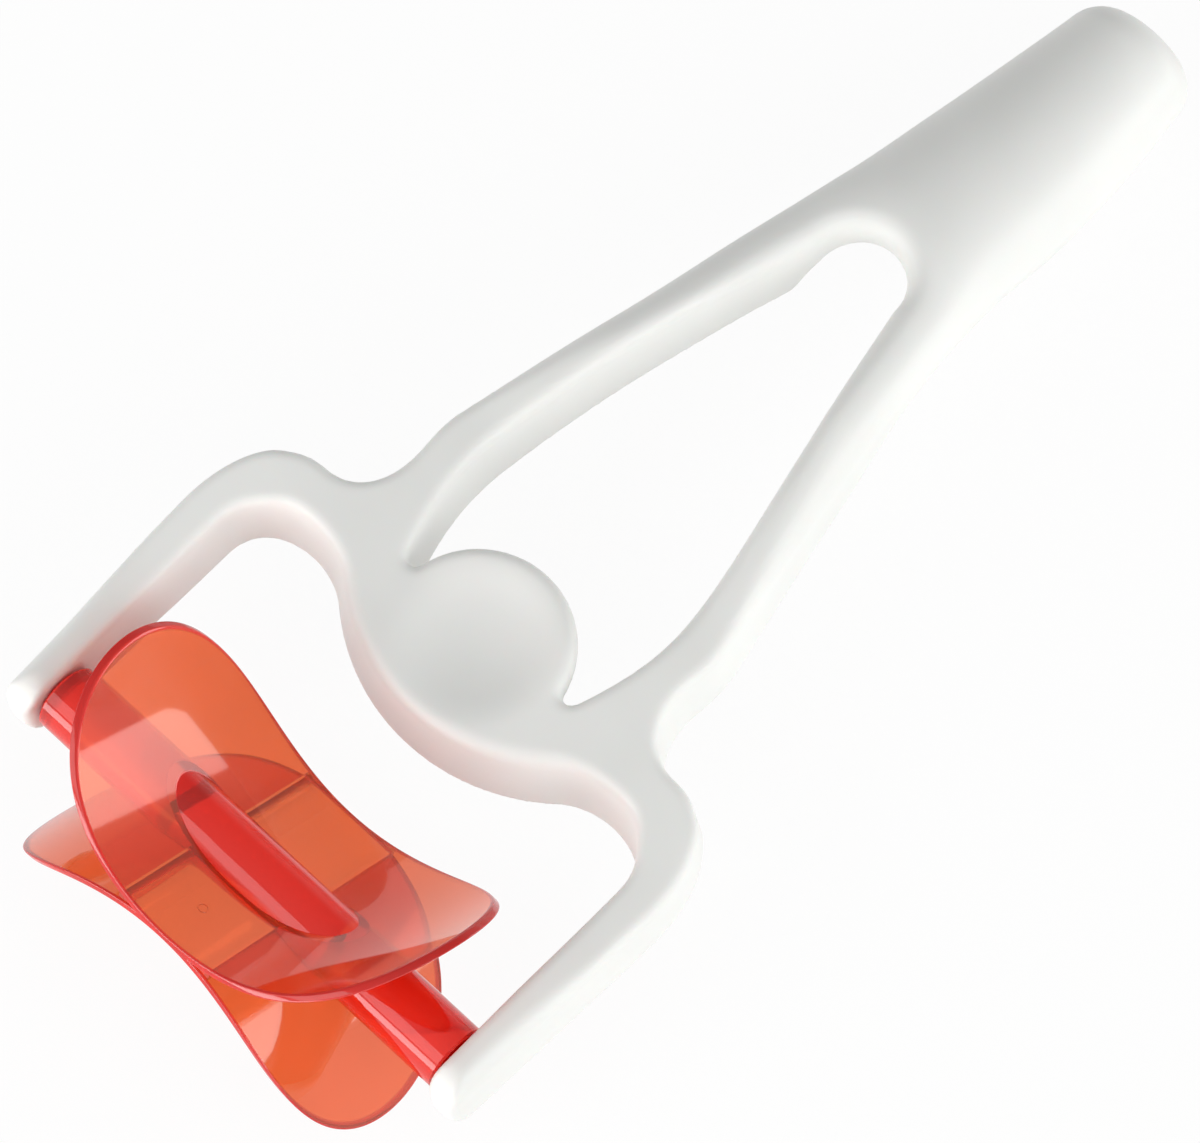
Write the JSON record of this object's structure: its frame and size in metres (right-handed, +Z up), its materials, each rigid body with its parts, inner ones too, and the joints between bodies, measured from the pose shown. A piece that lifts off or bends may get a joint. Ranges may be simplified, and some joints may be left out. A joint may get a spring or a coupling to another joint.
{
  "type": "dough cutting roller",
  "caption": "Hand-held dough cutter: a translucent cutting roller spins between the arms of a white moulded yoke with a thumb rest, a finger opening and a dropped handle.",
  "frame": {"origin": "on the table under the middle of the tool's length and width, as it lies on the roller's rims and the end of its handle", "axes": "+Y along the tool from the roller to the handle's end, +X along the roller's axle, +Z up from the table"},
  "size_m": [0.0886, 0.1972, 0.0382],
  "materials": {
    "white_plastic": "satin moulded",
    "red_translucent_plastic": "polished translucent"
  },
  "bodies": {
    "frame_body": {"frame": "white_plastic"},
    "roller_body": {"cutting_roller": "red_translucent_plastic"}
  },
  "joints": [
    {"name": "roller_spin", "type": "hinge", "parent": "frame_body", "child": "roller_body", "pos_m": [0, -0.07947, 0.0191], "axis": [1, 0, 0], "continuous": true}
  ]
}
